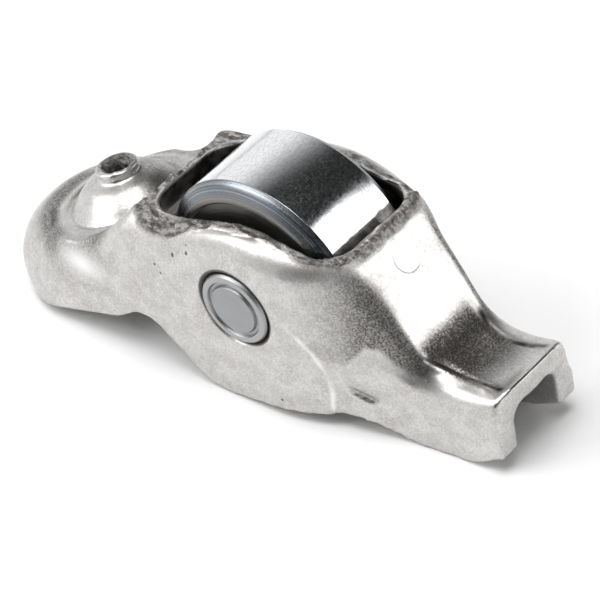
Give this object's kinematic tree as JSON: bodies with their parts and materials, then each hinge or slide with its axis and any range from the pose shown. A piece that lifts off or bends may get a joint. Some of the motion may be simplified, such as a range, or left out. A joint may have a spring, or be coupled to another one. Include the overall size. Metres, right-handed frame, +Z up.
{
  "type": "roller finger follower",
  "caption": "Stamped steel finger follower rocker arm with a domed pivot socket, a roller on a staked axle over needles, and a curved valve pad between two legs.",
  "frame": {"origin": "middle of the roller, on its axis", "axes": "+X from the pivot towards the valve, +Y across the arm along the roller's axis, +Z up to the cam"},
  "size_m": [0.0474, 0.0148, 0.0175],
  "materials": {
    "pressed_steel": "bright tumbled sheet steel with fine mottling",
    "axle_steel": "smooth ground pin end, staked",
    "roller_steel": "ground and polished bearing steel",
    "needle_steel": "polished bearing steel"
  },
  "bodies": {
    "arm": {"arm_body": "pressed_steel", "axle": "axle_steel"},
    "roller": {"roller": "roller_steel"},
    "needle_set": {"needle_01": "needle_steel", "needle_02": "needle_steel", "needle_03": "needle_steel", "needle_04": "needle_steel", "needle_05": "needle_steel", "needle_06": "needle_steel", "needle_07": "needle_steel", "needle_08": "needle_steel", "needle_09": "needle_steel", "needle_10": "needle_steel", "needle_11": "needle_steel", "needle_12": "needle_steel", "needle_13": "needle_steel", "needle_14": "needle_steel", "needle_15": "needle_steel", "needle_16": "needle_steel", "needle_17": "needle_steel"}
  },
  "joints": [
    {"name": "roller_spin", "type": "hinge", "parent": "arm", "child": "roller", "pos_m": [0, 0, 0], "axis": [0, 1, 0], "continuous": true},
    {"name": "needle_orbit", "type": "hinge", "parent": "arm", "child": "needle_set", "pos_m": [0, 0, 0], "axis": [0, 1, 0], "continuous": true}
  ],
  "couplings": [
    {"joint": "needle_orbit", "follows": "roller_spin", "ratio": 0.59128}
  ]
}
